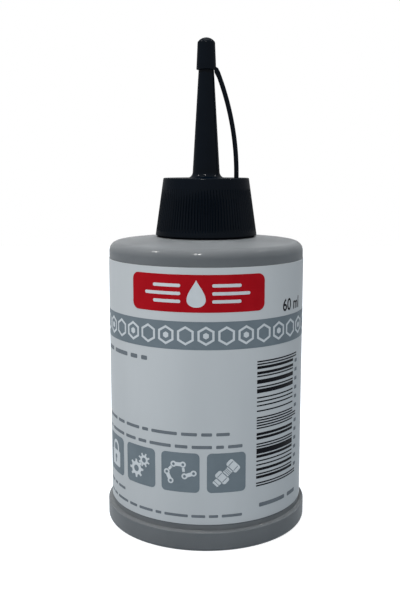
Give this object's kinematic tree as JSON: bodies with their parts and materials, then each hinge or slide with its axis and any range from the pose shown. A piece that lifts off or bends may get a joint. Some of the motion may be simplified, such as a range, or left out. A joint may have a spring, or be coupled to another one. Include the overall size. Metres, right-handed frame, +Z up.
{
  "type": "graphite lock lubricant tube",
  "caption": "Round squeeze bottle of graphite grease for locks, with a ribbed screw closure, a long tapered nozzle and a tip cap held captive on a moulded strap.",
  "frame": {"origin": "on the bottle's axis, in the plane of the ring that it stands on", "axes": "+Z up along the bottle's axis towards the nozzle, -Y out of the label's front, +X towards the tip cap's strap"},
  "size_m": [0.0418, 0.0418, 0.0993],
  "materials": {
    "bottle_plastic": "satin grey polyethylene",
    "label_film": "pale grey printed film",
    "grease": "dark grey graphite grease",
    "seal_foam": "off-white foamed liner",
    "closure_plastic": "black polyethylene, half gloss"
  },
  "bodies": {
    "bottle": {"bottle_body": "bottle_plastic", "wrap_label": "label_film", "grease_fill": "grease"},
    "seal": {"neck_seal": "seal_foam"},
    "closure": {"spout_cap": "closure_plastic", "tip_strap": "closure_plastic"},
    "tip": {"tip_cap": "closure_plastic"}
  },
  "joints": [
    {"name": "closure_lift", "type": "slide", "parent": "bottle", "child": "seal", "axis": [0, 0, 1], "range_m": [0, 0.0045]},
    {"name": "closure_turn", "type": "hinge", "parent": "seal", "child": "closure", "pos_m": [0, 0, 0.0655], "axis": [0, 0, 1], "range_deg": [0, 540]},
    {"name": "tip_cap_pull", "type": "slide", "parent": "closure", "child": "tip", "axis": [0, 0, 1], "range_m": [0, 0.0065], "deforming": ["tip_strap"]}
  ],
  "couplings": [
    {"joint": "closure_lift", "follows": "closure_turn", "m_per_rad": 0.00047746}
  ]
}
